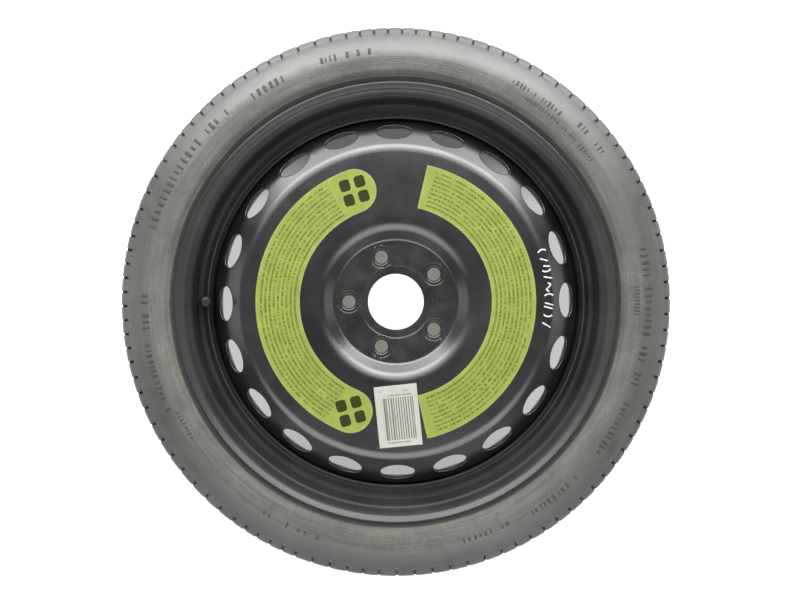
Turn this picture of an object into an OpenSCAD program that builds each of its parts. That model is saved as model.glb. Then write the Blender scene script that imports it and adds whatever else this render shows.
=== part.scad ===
// Space-saver spare wheel: narrow tyre on a pressed and welded steel wheel.
// Millimetres. The axle axis is Z and +Z points to the outer (vented) face.
// The origin is the centre of the hub bore in the plane that meets the hub.

/* [Tyre] */
// Outer diameter of the tyre at the crown
tyre_od = 657.6; // [648:0.2:668]
// Width of the inflated tyre between its sidewalls
tyre_w = 127.6; // [124:0.2:132]
// Depth of the grooves that run round the tread
groove_depth = 4.0; // [2.5:0.1:5]
// Width of the grooves that run round the tread
groove_w = 6.0; // [4:0.5:8]
// Number of notches across each shoulder
notch_count = 106; // [80:1:120]
// Width of each shoulder notch
notch_w = 2.6; // [1.6:0.1:3.6]

/* [Rim] */
// Diameter of the bead seats
seat_d = 482.6; // [482.2:0.1:483]
// Distance between the two flanges, inside
rim_w = 101.6; // [100:0.2:103]
// Thickness of the rim sheet
rim_t = 2.8; // [2.4:0.1:3]
// Height of the flanges above the bead seats
flange_h = 17.3; // [17:0.1:17.8]
// Rise of the flared lip at the edge of each flange
lip_rise = 6.8; // [6.4:0.1:7.2]
// Distance from the rim's middle plane out to the hub plane
rim_offset = 33; // [32:0.5:34]

/* [Disc] */
// Thickness of the disc sheet
disc_t = 3.8; // [3.4:0.1:4.2]
// Outer diameter of the disc where it is pressed into the rim
disc_od = 439; // [438.8:0.1:439]
// Height of the flat annulus above the hub plane
annulus_z = 17; // [16:0.5:19]
// Number of vent holes in the flank
vent_count = 20; // [12:1:20]
// Length of each vent hole, round the wheel
vent_l = 41.4; // [34:0.2:43]
// Width of each vent hole, down the flank
vent_w = 23; // [20:0.2:24]
// Slope of the upper half of the flank
flank_slope = 28.5; // [27:0.5:30]

/* [Hub] */
// Diameter of the hub bore
bore_d = 66.5; // [57:0.1:70]
// Diameter of the bolt circle
bolt_pcd = 112; // [108:0.1:114.3]
// Number of wheel bolt holes
bolt_count = 5; // [4:1:5]
// Diameter of each wheel bolt hole
bolt_hole_d = 15.5; // [13:0.1:17]

/* [Valve] */
// Tilt of the valve from the axle axis
valve_tilt = 16; // [15:0.5:17]
// Radius of the valve hole in the rim
valve_hole_r = 5.75; // [5.5:0.05:6]
// Travel of the valve pin
pin_travel = 1.2; // [0.8:0.1:1.4]

/* [Markings] */
// Inner radius of the coloured sticker bands
band_r1 = 112.6; // [109:0.2:114]
// Outer radius of the coloured sticker bands
band_r2 = 164.6; // [160:0.2:166]
// Thickness of the stickers and of the label
film_t = 0.15; // [0.1:0.05:0.3]
// Width of the paper label
label_w = 50.4; // [44:0.2:52]
// Length of the paper label
label_l = 72; // [60:0.5:73]

/* [Hidden] */
$fn = 96;

mid_z = -rim_offset;                  // middle plane of rim and tyre
seat_r = seat_d / 2;
lip_r = seat_r + flange_h;            // outermost radius of the rim
flange_z = mid_z + rim_w / 2;         // tyre side of the outer flange
well_r = disc_od / 2 + rim_t;         // tyre side of the drop well
taper = tan(5);                       // bead seats lean by 5 degrees
lip_run = 7.7;                        // width of the flared lip
lip_angle = atan(lip_rise / lip_run);
bend_r = lip_r - lip_run - 9.5 * tan(lip_angle / 2);
crown_r = tyre_od / 2;
half_w = tyre_w / 2;

// ---------- functions for rounded and thickened outlines ----------
function unit(v) = v / norm(v);
function xy(p) = [p[0], p[1]];
function rev(l) = [for (i = [len(l) - 1 : -1 : 0]) l[i]];

// Arc of radius r that rounds the corner b of the path a, b, c
function corner(a, b, c, r, n) =
  let (u = unit(xy(a) - xy(b)), v = unit(xy(c) - xy(b)),
       h = acos(u * v) / 2,
       o = xy(b) + unit(u + v) * (r / sin(h)),
       s = xy(b) + u * (r / tan(h)), e = xy(b) + v * (r / tan(h)),
       a0 = atan2(s[1] - o[1], s[0] - o[0]),
       a1 = atan2(e[1] - o[1], e[0] - o[0]),
       w = (a1 - a0 + 540) % 360 - 180)
  [for (k = [0 : n]) o + r * [cos(a0 + w * k / n), sin(a0 + w * k / n)]];

// Path through points [x, y, corner radius, steps of the corner]
function rounded(p, n = 6) =
  [for (i = [0 : len(p) - 1])
    each (i == 0 || i == len(p) - 1 || p[i][2] == 0) ? [xy(p[i])]
      : corner(p[i - 1], p[i], p[i + 1], p[i][2], len(p[i]) > 3 ? p[i][3] : n)];

function side(p, i) = let (d = unit(p[i + 1] - p[i])) [-d[1], d[0]];

// The path moved sideways by t, to its left where t is positive
function moved(p, t) =
  [for (i = [0 : len(p) - 1])
    i == 0 ? p[0] + t * side(p, 0)
    : i == len(p) - 1 ? p[i] + t * side(p, i - 1)
    : let (a = side(p, i - 1), m = unit(a + side(p, i)))
      p[i] + m * (t / (m * a))];

// Closed section of a sheet that lies between the path and its moved copy
function sheet(p, t) = concat(p, rev(moved(p, t)));

// Smooth curve through points, n steps between neighbours
function smooth(p, n = 3) =
  let (m = len(p) - 1)
  [for (i = [0 : m - 1]) for (k = [0 : (i == m - 1 ? n : n - 1)])
    let (t = k / n, a = p[max(i - 1, 0)], b = p[i], c = p[i + 1],
         d = p[min(i + 2, m)])
    0.5 * ((2 * b) + (c - a) * t + (2 * a - 5 * b + 4 * c - d) * t * t
      + (3 * b - a - 3 * c + d) * t * t * t)];

// ---------- tyre ----------
function crown(w) = crown_r - 0.00238 * w * w;

// Half of the tyre's section as [radius, distance from the middle plane]
groove_at = [21];
half_section = concat(
  [[crown(0) - groove_depth, 0], [crown(0) - groove_depth, groove_w / 2 - 0.6],
   [crown(0), groove_w / 2]],
  [for (w = [8, 13]) [crown(w), w]],
  [for (g = groove_at) each [
    [crown(g - groove_w / 2), g - groove_w / 2],
    [crown(g) - groove_depth, g - groove_w / 2 + 0.7],
    [crown(g) - groove_depth, g + groove_w / 2 - 0.7],
    [crown(g + groove_w / 2), g + groove_w / 2]]],
  [[crown(34), 34], [crown(42), 42], [crown_r - 5.8, 45.4], [crown_r - 9.2, 48],
   [crown_r - 13.4, half_w - 13.2]],
  smooth([[crown_r - 19, half_w - 9.9], [crown_r - 27, half_w - 6.1],
          [crown_r - 36, half_w - 2.5], [crown_r - 45, half_w - 0.3],
          [crown_r - 52, half_w - 0.2]], 3),
  [[seat_r + 30, half_w - 0.8], [seat_r + 27, half_w - 1.4],
   [seat_r + 25.2, half_w - 2.6], [seat_r + 23.5, half_w - 4.6],
   [seat_r + 20.6, half_w - 6.4], [seat_r + 18.4, half_w - 7.1]],
  // bead, in contact with the rim
  [for (k = [4 : -1 : 0]) let (a = lip_angle * k / 4)
    [bend_r + 9.5 * sin(a), rim_w / 2 + 9.5 - 9.5 * cos(a)]],
  corner([bend_r, rim_w / 2], [seat_r, rim_w / 2],
         [seat_r - 17 * taper, rim_w / 2 - 17], 5, 5),
  [[seat_r - 16.3 * taper, rim_w / 2 - 16.3], [seat_r - 0.4, rim_w / 2 - 18.2]],
  // air side
  smooth([[seat_r + 2, half_w - 30.6], [seat_r + 9, half_w - 25.5],
          [seat_r + 17, half_w - 17.5], [seat_r + 25, half_w - 11.6],
          [seat_r + 33, half_w - 8], [seat_r + 42, half_w - 6.6],
          [seat_r + 51, half_w - 8.4], [crown_r - 28.5, half_w - 12.4],
          [crown_r - 20.5, half_w - 19], [crown_r - 15, 35],
          [crown_r - 12.6, 24], [crown_r - 11.8, 12], [crown_r - 11.6, 0]], 2));

module tyre_section() {
  inner = [for (p = half_section) if (p[1] > 0.001) [p[0], -p[1]]];
  polygon([for (p = concat(half_section, rev(inner))) [p[0], p[1] + mid_z]]);
}

// One notch across a shoulder, on the +X side and above the middle plane
module notch() {
  translate([crown_r - 7.6, 0, mid_z + 30]) rotate([0, -14, 0])
    translate([0, -notch_w / 2, 0]) cube([20, notch_w, 30]);
}

module tyre() {
  color([0.42, 0.42, 0.39])
    difference() {
      rotate_extrude() tyre_section();
      for (k = [0 : notch_count - 1]) rotate([0, 0, (k + 0.3) * 360 / notch_count]) {
        notch();
        translate([0, 0, 2 * mid_z]) mirror([0, 0, 1]) rotate([0, 0, 180 / notch_count]) notch();
      }
    }
}

// ---------- rim ----------
wall_z = -8.6;                                  // outer end of the valve wall
wall_r = seat_r - 1.1;
well_front_z = wall_z - (wall_r - well_r) * tan(valve_tilt);
rim_path = rounded([
  [lip_r, flange_z + lip_rise, 0],
  [lip_r - lip_run, flange_z, 9.5, 4],
  [seat_r, flange_z, 2.5, 4],
  [seat_r - (flange_z) * taper, 0, 4],
  [wall_r + 0.5, -4, 3],
  [wall_r, wall_z, 3.4],
  [well_r, well_front_z, 3.5],
  [well_r, mid_z - 13, 6],
  [seat_r - 1.8, mid_z - 29.5, 8],
  [seat_r, mid_z - rim_w / 2, 2.5, 4],
  [lip_r - lip_run, mid_z - rim_w / 2, 9.5, 4],
  [lip_r, mid_z - rim_w / 2 - lip_rise, 0]], 6);

// The valve stands square on the wall between bead seat and well
wall_dir = unit([well_r - wall_r, well_front_z - wall_z]);
valve_foot = [wall_r, wall_z] + wall_dir * 9.8 + rim_t * [wall_dir[1], -wall_dir[0]];

module at_valve() {
  translate([-valve_foot[0], 0, valve_foot[1]]) rotate([0, valve_tilt, 0]) children();
}

module rim() {
  color([0.13, 0.13, 0.13])
    difference() {
      rotate_extrude() polygon(sheet(rim_path, -rim_t));
      at_valve() translate([0, 0, -8]) cylinder(h = 14, r = valve_hole_r);
    }
}

// ---------- disc ----------
disc_r = disc_od / 2;
crest_r = disc_r - 38;
flank_r = disc_r - 12.8;                        // here the flank turns steeper
flank_z = annulus_z - (flank_r - crest_r) * tan(flank_slope);
flank_end_z = flank_z - 12.8 * tan(48);
vent_mid = [disc_r - 17, annulus_z - 12.8];
vent_slope = 35;
dish_r = 73.6;
dish_top = disc_t + 13 * tan(39);
disc_path = rounded([
  [bore_d / 2, disc_t, 0],
  [dish_r, disc_t, 6, 4],
  [dish_r + 13, dish_top, 26, 5],
  [dish_r + 13 + (annulus_z - dish_top) / tan(8), annulus_z, 60, 2],
  [crest_r, annulus_z, 22.5, 6],
  [flank_r, flank_z, 30, 2],
  [disc_r, flank_end_z, 8, 4],
  [disc_r, -38, 0]]);

module bolt_holes() {
  for (k = [0 : bolt_count - 1]) rotate([0, 0, 36 + k * 360 / bolt_count])
    translate([bolt_pcd / 2, 0, 0]) children();
}

// Oval of four arcs, long across the slope of the flank
vent_end_r = 8.2;
vent_side_r = 31.5;

module vent_outline() {
  intersection() {
    translate([vent_side_r - vent_w / 2, 0]) circle(r = vent_side_r);
    translate([vent_w / 2 - vent_side_r, 0]) circle(r = vent_side_r);
    square([vent_w + 4, vent_l - 7.2], center = true);
  }
  for (s = [-1, 1]) translate([0, s * (vent_l / 2 - vent_end_r)]) circle(r = vent_end_r);
}

module disc() {
  color([0.1, 0.1, 0.1])
    difference() {
      rotate_extrude() polygon(sheet(disc_path, -disc_t));
      // stepped edge round the bore
      translate([0, 0, disc_t - 1.2]) cylinder(h = 3, r1 = 42.2, r2 = 45.2);
      translate([0, 0, -1]) cylinder(h = 12, d = bore_d);
      // holes with cone seats, each in a shallow round recess
      bolt_holes() {
        translate([0, 0, -1]) cylinder(h = 12, d = bolt_hole_d);
        translate([0, 0, 1.4]) cylinder(h = 4, r1 = bolt_hole_d / 2, r2 = bolt_hole_d / 2 + 5.28);
        translate([0, 0, disc_t - 1]) cylinder(h = 4, r = 14);
      }
      for (k = [0 : vent_count - 1]) rotate([0, 0, 0.6 + k * 360 / vent_count])
        translate([vent_mid[0], 0, vent_mid[1]]) rotate([0, vent_slope, 0])
          translate([0, 0, -9]) linear_extrude(18) vent_outline();
    }
}

// ---------- welds between disc and rim, at the back ----------
module weld_beads() {
  color([0.2, 0.19, 0.18])
    for (k = [0 : 7]) rotate([0, 0, k * 45 + 14.5])
      rotate_extrude(angle = 16) polygon(concat(
        [[disc_r, -38], [disc_r, -42.6]],
        [for (a = [0 : 15 : 90]) [disc_r - 0.3 - 3.1 * sin(a), -38.4 - 3.9 * cos(a)]],
        [[disc_r - 3.4, -38]]));
}

// ---------- valve, drawn along its own axis from the rim's face ----------
function shifted(l) = [for (p = l) [p[1], p[0]]];

module turned(points) { rotate_extrude() polygon(shifted(points)); }

module ring(z0, z1, r0, r1) {
  translate([0, 0, z0]) difference() {
    cylinder(h = z1 - z0, r = r1);
    translate([0, 0, -1]) cylinder(h = z1 - z0 + 2, r = r0);
  }
}

module valve_body() {
  color([0.09, 0.09, 0.09]) at_valve() turned([
    [-11.5, 2.6], [-11.5, 5.8], [-10.6, 6.8], [-6, 7.6], [-rim_t, 8],
    [-rim_t, valve_hole_r], [0, valve_hole_r],
    [0, 6.6], [1, 6.85], [3, 6.9], [5, 6.75], [9, 6.3], [15, 5.8], [21, 5.5],
    [21.7, 5.3], [22, 4.9], [22, 3.2], [-9, 3.2], [-9, 2.6]]);
}

module valve_insert() {
  color([0.72, 0.57, 0.3]) at_valve() turned([
    [-9, 2.3], [-9, 3.2], [22, 3.2], [22, 3.65], [22.5, 3.85], [32.5, 3.85], [33, 3.4],
    [33, 2.75], [32.7, 2.55], [25, 2.55], [24.9, 2.4], [23.4, 2.4], [20.6, 2.1],
    [18, 2.1], [17.8, 2.3]]);
}

module core_plug() {
  color([0.75, 0.62, 0.35]) at_valve() difference() {
    union() {
      ring(26, 29, 1.3, 2.5);
      ring(29, 30.2, 1.3, 2.1);
    }
    for (s = [-1, 1]) translate([s * 2.3 - 0.8, -3, 29]) cube([1.6, 6, 2]);
  }
}

module core_barrel() {
  color([0.76, 0.64, 0.38]) at_valve() turned([
    [17.6, 0.8], [17.6, 1.9], [26, 1.9], [26, 1.35], [18.4, 1.35], [18.4, 0.8]]);
}

module core_gasket() {
  color([0.85, 0.2, 0.15]) at_valve() turned([
    [20.8, 1.9], [20.8, 2.12], [23.2, 2.37], [23.2, 1.9]]);
}

module core_pin() {
  color([0.8, 0.68, 0.42]) at_valve() turned([
    [15, 0], [15, 0.5], [27.2, 0.5], [27.2, 1.2], [27.8, 1.2], [27.8, 0.5],
    [31.5, 0.5], [31.6, 0.75], [32.1, 0.75], [32.2, 0.6], [32.2, 0]]);
}

module core_plunger() {
  color([0.74, 0.6, 0.34]) at_valve() turned([
    [14.6, 0.5], [14.6, 1.6], [14.8, 1.75], [16.9, 1.75], [16.9, 1.45], [15.4, 1.45],
    [15.4, 0.5]]);
}

module core_plunger_seal() {
  color([0.12, 0.12, 0.12]) at_valve() ring(15.4, 17.5, 0.5, 1.45);
}

// Round wire wound on a helix, from the barrel's web up to the pin's collar
coil_turns = 9;
coil_steps = 14;
coil_r = 0.95;
wire_r = 0.14;
function coil_point(i, j) =
  let (a = i * 360 / coil_steps, b = j * 45,
       r = coil_r + wire_r * cos(b))
  [r * cos(a), r * sin(a),
   18.6 + (8.3 * i) / (coil_turns * coil_steps) + wire_r * sin(b)];

module core_spring() {
  n = coil_turns * coil_steps;
  color([0.7, 0.7, 0.72]) at_valve() polyhedron(
    points = [for (i = [0 : n]) for (j = [0 : 7]) coil_point(i, j)],
    faces = concat(
      [[for (j = [0 : 7]) j]],
      [for (i = [0 : n - 1]) for (j = [0 : 7]) each [
        [i * 8 + j, (i + 1) * 8 + j, (i + 1) * 8 + (j + 1) % 8],
        [i * 8 + j, (i + 1) * 8 + (j + 1) % 8, i * 8 + (j + 1) % 8]]],
      [[for (j = [7 : -1 : 0]) n * 8 + j]]));
}

module valve_cap() {
  color([0.06, 0.06, 0.06]) at_valve() difference() {
    turned([
      [22.9, 3.93], [22.9, 4.8], [23.2, 5.05], [30, 4.95], [34.9, 4.8], [35.8, 4.35],
      [36.3, 3.4], [36.3, 0], [35.1, 0], [35.1, 3.93]]);
    for (k = [0 : 15]) rotate([0, 0, k * 22.5])
      translate([5.2, 0, 24.2]) cylinder(h = 8.8, r = 0.42);
  }
}

module valve_cap_seal() {
  color([0.55, 0.12, 0.1]) at_valve() translate([0, 0, 33.25]) cylinder(h = 1.7, r = 3.6);
}

// ---------- stickers and label, laid on the face of the disc ----------
// A skin on the face between two radii
module face_skin(r0, r1) {
  intersection() {
    rotate_extrude() polygon(sheet([for (p = disc_path) if (p[0] > 80 && p[1] > 8) p], film_t));
    translate([0, 0, -5]) ring_shape(r0, r1, 60);
  }
}

module ring_shape(r0, r1, h) {
  difference() {
    cylinder(h = h, r = r1);
    translate([0, 0, -1]) cylinder(h = h + 2, r = r0);
  }
}

// Plain wedge of a disc from angle a0 to a1, less than half a turn
module wedge(a0, a1, r) {
  polygon([[0, 0], for (k = [0 : 6]) r * [cos(a0 + (a1 - a0) * k / 6), sin(a0 + (a1 - a0) * k / 6)]]);
}

band_mid = (band_r1 + band_r2) / 2;
band_half = (band_r2 - band_r1) / 2;

module end_disc(a) { rotate([0, 0, a]) translate([band_mid, 0]) circle(r = band_half); }

module label_outline(grow = 0) {
  translate([2.7, -133.6]) rotate(5.9)
    square([label_w + grow, label_l + grow], center = true);
}

module sticker_left() {
  color([0.62, 0.7, 0.3]) intersection() {
    face_skin(band_r1, band_r2);
    translate([0, 0, -5]) linear_extrude(60) union() {
      wedge(110.5, 179, 300);
      wedge(179, 247.5, 300);
      end_disc(110.5);
      end_disc(247.5);
    }
  }
}

module sticker_right() {
  color([0.62, 0.7, 0.3]) intersection() {
    face_skin(band_r1, band_r2);
    translate([0, 0, -5]) linear_extrude(60) difference() {
      union() {
        wedge(0, 77, 300);
        wedge(-77.5, 0, 300);
      }
      label_outline(0.4);
    }
  }
}

module barcode_label() {
  color([0.9, 0.9, 0.86]) intersection() {
    face_skin(90, 180);
    translate([0, 0, -5]) linear_extrude(60) label_outline();
  }
}

tyre();
rim();
disc();
weld_beads();
valve_body();
valve_insert();
core_plug();
core_barrel();
core_gasket();
core_pin();
core_plunger();
core_plunger_seal();
core_spring();
valve_cap();
valve_cap_seal();
sticker_left();
sticker_right();
barcode_label();
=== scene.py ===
import bpy
import bmesh
import math
import random
import numpy as np
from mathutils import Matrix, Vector


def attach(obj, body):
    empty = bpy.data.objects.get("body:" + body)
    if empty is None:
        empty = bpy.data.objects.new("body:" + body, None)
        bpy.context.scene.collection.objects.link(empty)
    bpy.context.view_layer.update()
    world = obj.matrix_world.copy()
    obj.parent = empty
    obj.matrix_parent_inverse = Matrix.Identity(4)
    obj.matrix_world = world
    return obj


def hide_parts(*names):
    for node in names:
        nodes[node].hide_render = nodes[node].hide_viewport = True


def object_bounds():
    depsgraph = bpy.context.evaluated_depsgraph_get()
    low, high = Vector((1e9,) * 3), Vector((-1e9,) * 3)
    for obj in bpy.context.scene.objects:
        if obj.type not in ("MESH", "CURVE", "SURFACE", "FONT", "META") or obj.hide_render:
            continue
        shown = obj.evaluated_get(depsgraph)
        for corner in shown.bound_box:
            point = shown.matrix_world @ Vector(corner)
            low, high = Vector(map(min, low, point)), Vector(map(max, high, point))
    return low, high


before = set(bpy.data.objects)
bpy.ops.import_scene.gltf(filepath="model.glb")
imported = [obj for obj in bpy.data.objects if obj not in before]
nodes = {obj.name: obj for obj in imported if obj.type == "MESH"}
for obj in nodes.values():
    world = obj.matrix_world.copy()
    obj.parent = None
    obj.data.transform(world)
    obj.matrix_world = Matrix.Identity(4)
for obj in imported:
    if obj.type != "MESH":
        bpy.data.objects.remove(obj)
cad_lo, cad_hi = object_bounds()
scene = bpy.context.scene
TAU = 2 * math.pi
MID = -33.0          # middle plane of rim and tyre, mm


# ------------------------------------------------------------------ outlines
def unit(v):
    return v / np.hypot(*v)


def corner(a, b, c, r, n):
    a, b, c = (np.array(p[:2], float) for p in (a, b, c))
    u, v = unit(a - b), unit(c - b)
    h = math.acos(float(np.clip(u @ v, -1, 1))) / 2
    o = b + unit(u + v) * (r / math.sin(h))
    s, e = b + u * (r / math.tan(h)), b + v * (r / math.tan(h))
    a0 = math.atan2(s[1] - o[1], s[0] - o[0])
    a1 = math.atan2(e[1] - o[1], e[0] - o[0])
    w = (a1 - a0 + 3 * math.pi) % TAU - math.pi
    return [o + r * np.array([math.cos(a0 + w * k / n), math.sin(a0 + w * k / n)]) for k in range(n + 1)]


def rounded(p, n=10):
    out = []
    for i, q in enumerate(p):
        if i in (0, len(p) - 1) or q[2] == 0:
            out.append(np.array(q[:2], float))
        else:
            m = n if len(q) < 4 else q[3]
            out += corner(p[i - 1], q, p[i + 1], q[2], m)
    return np.array(out)


def smooth(p, n=3):
    p = [np.array(q, float) for q in p]
    m = len(p) - 1
    out = []
    for i in range(m):
        a, b, c, d = p[max(i - 1, 0)], p[i], p[i + 1], p[min(i + 2, m)]
        for k in range(n + 1 if i == m - 1 else n):
            t = k / n
            out.append(0.5 * (2 * b + (c - a) * t + (2 * a - 5 * b + 4 * c - d) * t * t
                              + (3 * b - a - 3 * c + d) * t ** 3))
    return out


def normals(p):
    """Left-hand normals of a path."""
    p = np.asarray(p, float)
    d = np.diff(p, axis=0)
    d /= np.maximum(np.linalg.norm(d, axis=1), 1e-9)[:, None]
    s = np.stack([-d[:, 1], d[:, 0]], 1)
    out = np.empty_like(p)
    out[0], out[-1] = s[0], s[-1]
    m = s[:-1] + s[1:]
    m /= np.linalg.norm(m, axis=1)[:, None]
    out[1:-1] = m / np.maximum((m * s[:-1]).sum(1), 0.3)[:, None]
    return out


def moved(p, t):
    return np.asarray(p) + normals(p) * t


# ------------------------------------------------------------------- meshes
def make(name, verts, faces, mat, body="wheel", stands_for=(), angle=38, fix=True):
    """verts in millimetres."""
    mesh = bpy.data.meshes.new(name)
    mesh.from_pydata((np.asarray(verts, float) * 0.001).tolist(), [], faces)
    if fix:
        bm = bmesh.new()
        bm.from_mesh(mesh)
        bmesh.ops.delete(bm, geom=[v for v in bm.verts if not v.link_faces], context="VERTS")
        bmesh.ops.recalc_face_normals(bm, faces=bm.faces)
        bm.to_mesh(mesh)
        bm.free()
    mesh.validate()
    mesh.shade_smooth()
    mesh.set_sharp_from_angle(angle=math.radians(angle))
    mats = mat if isinstance(mat, (list, tuple)) else [mat]
    for m in mats:
        mesh.materials.append(m)
    obj = bpy.data.objects.new(name, mesh)
    scene.collection.objects.link(obj)
    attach(obj, body)
    if stands_for:
        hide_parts(*stands_for)
    return obj


class Sheet:
    """Collects vertices and faces of one closed mesh."""

    def __init__(self):
        self.v, self.f, self.n = [], [], 0

    def add(self, pts):
        pts = np.asarray(pts, float)
        self.v.append(pts)
        ids = np.arange(self.n, self.n + len(pts))
        self.n += len(pts)
        return ids

    def band(self, a, b, closed=True):
        """Faces between two loops; b may have a whole fraction of a's count, or the other way."""
        if len(a) < len(b):
            a, b = b, a
        n, m = len(a), len(b)
        k = n // m
        if k == 1:
            j = np.roll(np.arange(n), -1)
            q = np.stack([a, a[j], b[j], b], 1)
            if not closed:
                q = q[:-1]
            self.f += q.tolist()
        else:
            for i in range(m):
                i2 = (i + 1) % m
                fine = [int(a[(i * k + s) % n]) for s in range(k + 1)]
                self.f.append(fine + [int(b[i2]), int(b[i])])

    def verts(self):
        return np.concatenate(self.v)


def loop(r, z, ang):
    r = np.broadcast_to(r, ang.shape)
    z = np.broadcast_to(z, ang.shape)
    return np.stack([r * np.cos(ang), r * np.sin(ang), z], 1)


# ---------------------------------------------------------------- materials
def material(name):
    m = bpy.data.materials.new(name)
    m.use_nodes = True
    nt = m.node_tree
    return m, nt, nt.nodes["Principled BSDF"]


def add(nt, kind, **inputs):
    n = nt.nodes.new("ShaderNode" + kind)
    for k, v in inputs.items():
        n.inputs[k].default_value = v
    return n


def link(nt, a, b):
    nt.links.new(a, b)


def noise(nt, scale, detail=4.0, rough=0.55, coords=None, dist=0.0):
    n = nt.nodes.new("ShaderNodeTexNoise")
    n.inputs["Scale"].default_value = scale
    n.inputs["Detail"].default_value = detail
    n.inputs["Roughness"].default_value = rough
    n.inputs["Distortion"].default_value = dist
    if coords is not None:
        link(nt, coords, n.inputs["Vector"])
    return n.outputs["Fac"]


def ramp(nt, fac, stops):
    n = nt.nodes.new("ShaderNodeValToRGB")
    els = n.color_ramp.elements
    while len(els) < len(stops):
        els.new(0.5)
    for e, (p, c) in zip(els, stops):
        e.position = p
        e.color = (*c, 1) if isinstance(c, (tuple, list)) else (c, c, c, 1)
    link(nt, fac, n.inputs["Fac"])
    return n.outputs["Color"]


def math_node(nt, op, a, b=None, c=None, clamp=False):
    n = nt.nodes.new("ShaderNodeMath")
    n.operation = op
    n.use_clamp = clamp
    for i, x in enumerate((a, b, c)):
        if x is None:
            continue
        if isinstance(x, (int, float)):
            n.inputs[i].default_value = x
        else:
            link(nt, x, n.inputs[i])
    return n.outputs[0]


def mix(nt, fac, a, b, mode="MIX"):
    n = nt.nodes.new("ShaderNodeMix")
    n.data_type = "RGBA"
    n.blend_type = mode
    for i, x in ((0, fac), (6, a), (7, b)):
        if isinstance(x, (int, float)):
            n.inputs[i].default_value = x
        elif isinstance(x, (tuple, list)):
            n.inputs[i].default_value = (*x, 1)
        else:
            link(nt, x, n.inputs[i])
    return n.outputs[2]


def bump(nt, height, strength, distance, normal=None):
    n = nt.nodes.new("ShaderNodeBump")
    n.inputs["Strength"].default_value = strength
    n.inputs["Distance"].default_value = distance
    link(nt, height, n.inputs["Height"])
    if normal is not None:
        link(nt, normal, n.inputs["Normal"])
    return n.outputs["Normal"]


def object_coords(nt):
    return nt.nodes.new("ShaderNodeTexCoord").outputs["Object"]


def polar(nt):
    """Radius in metres and angle in turns (0 to 1), round the axle, and height."""
    co = object_coords(nt)
    sep = nt.nodes.new("ShaderNodeSeparateXYZ")
    link(nt, co, sep.inputs[0])
    x, y, z = sep.outputs
    r = math_node(nt, "SQRT", math_node(nt, "ADD", math_node(nt, "MULTIPLY", x, x), math_node(nt, "MULTIPLY", y, y)))
    a = math_node(nt, "DIVIDE", math_node(nt, "ARCTAN2", y, x), TAU)
    return co, r, a, x, y, z


def rubber_material():
    m, nt, b = material("tyre_rubber_dusty")
    co, r, a, x, y, z = polar(nt)
    big = noise(nt, 9, 5, 0.6, co)
    fine = noise(nt, 260, 3, 0.6, co)
    mid = noise(nt, 45, 4, 0.65, co)
    dusty = ramp(nt, big, [(0.3, (0.102, 0.102, 0.089)), (0.5, (0.126, 0.126, 0.110)), (0.72, (0.160, 0.160, 0.141))])
    worn = ramp(nt, big, [(0.3, (0.042, 0.042, 0.037)), (0.5, (0.054, 0.054, 0.047)), (0.72, (0.070, 0.070, 0.062))])
    wob = math_node(nt, "ADD", r, math_node(nt, "MULTIPLY", math_node(nt, "SUBTRACT", mid, 0.5), 0.02))
    out = nt.nodes.new("ShaderNodeMapRange")
    out.interpolation_type = "SMOOTHSTEP"
    link(nt, wob, out.inputs["Value"])
    out.inputs["From Min"].default_value = 0.277
    out.inputs["From Max"].default_value = 0.297
    base = mix(nt, out.outputs[0], dusty, worn)
    spots = ramp(nt, mid, [(0.35, 0.86), (0.5, 1.0), (0.68, 1.12)])
    col = mix(nt, 1.0, base, spots, "MULTIPLY")
    grain = ramp(nt, fine, [(0.35, 0.9), (0.65, 1.08)])
    col = mix(nt, 1.0, col, grain, "MULTIPLY")
    # faint streaks that run round the tyre
    comb = nt.nodes.new("ShaderNodeCombineXYZ")
    link(nt, math_node(nt, "MULTIPLY", r, 520.0), comb.inputs[0])
    link(nt, math_node(nt, "MULTIPLY", math_node(nt, "SINE", math_node(nt, "MULTIPLY", a, TAU)), 3.0), comb.inputs[1])
    link(nt, math_node(nt, "MULTIPLY", math_node(nt, "COSINE", math_node(nt, "MULTIPLY", a, TAU)), 3.0), comb.inputs[2])
    streak = noise(nt, 1.0, 3, 0.6, comb.outputs[0])
    col = mix(nt, 1.0, col, ramp(nt, streak, [(0.34, 0.80), (0.5, 1.0), (0.66, 1.16)]), "MULTIPLY")
    # painted shade: the narrow groove beside the rim's lip is darkened to stand for its shadow, partly also for its
    # lack of dust
    groove = ramp(nt, math_node(nt, "MULTIPLY", r, 3.0), [(0.785, 0.16), (0.791, 1.0)])
    col = mix(nt, 1.0, col, groove, "MULTIPLY")
    link(nt, col, b.inputs["Base Color"])
    ro = mix(nt, out.outputs[0], ramp(nt, mid, [(0.3, 0.62), (0.7, 0.8)]), ramp(nt, mid, [(0.3, 0.40), (0.7, 0.50)]))
    link(nt, ro, b.inputs["Roughness"])
    b.inputs["IOR"].default_value = 1.7
    link(nt, math_node(nt, "ADD", math_node(nt, "MULTIPLY", out.outputs[0], 0.65), 0.25), b.inputs["Specular IOR Level"])
    n1 = bump(nt, fine, 0.25, 0.0004)
    n2 = bump(nt, mid, 0.12, 0.0012, n1)
    link(nt, n2, b.inputs["Normal"])
    return m


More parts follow.
